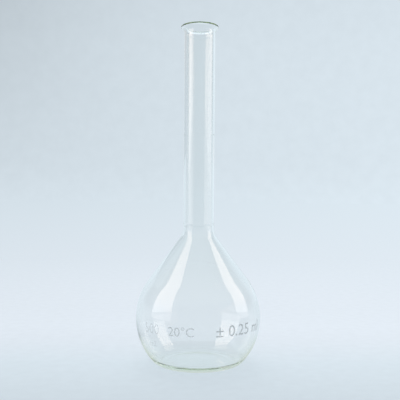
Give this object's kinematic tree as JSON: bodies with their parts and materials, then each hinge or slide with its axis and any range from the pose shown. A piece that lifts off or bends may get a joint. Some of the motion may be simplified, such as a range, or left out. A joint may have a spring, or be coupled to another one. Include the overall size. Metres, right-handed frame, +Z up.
{
  "type": "volumetric flask",
  "caption": "Clear glass volumetric flask: flat-based round bulb, long narrow neck with a fired ring mark and a flared lip, for making up a measured volume of solution.",
  "frame": {"origin": "middle of the base, on the plane that the flask stands on", "axes": "+Z up along the axis of bulb and neck, towards the mouth; X and Y lie on the bench"},
  "size_m": [0.099, 0.099, 0.2686],
  "materials": {
    "borosilicate_glass": "clear, polished, with a faint green tint in the thick heel and lip",
    "fired_enamel": "thin pale grey fired line, satin"
  },
  "bodies": {
    "root": {"bulb": "borosilicate_glass", "neck_tube": "borosilicate_glass", "graduation_ring": "fired_enamel"}
  },
  "joints": []
}
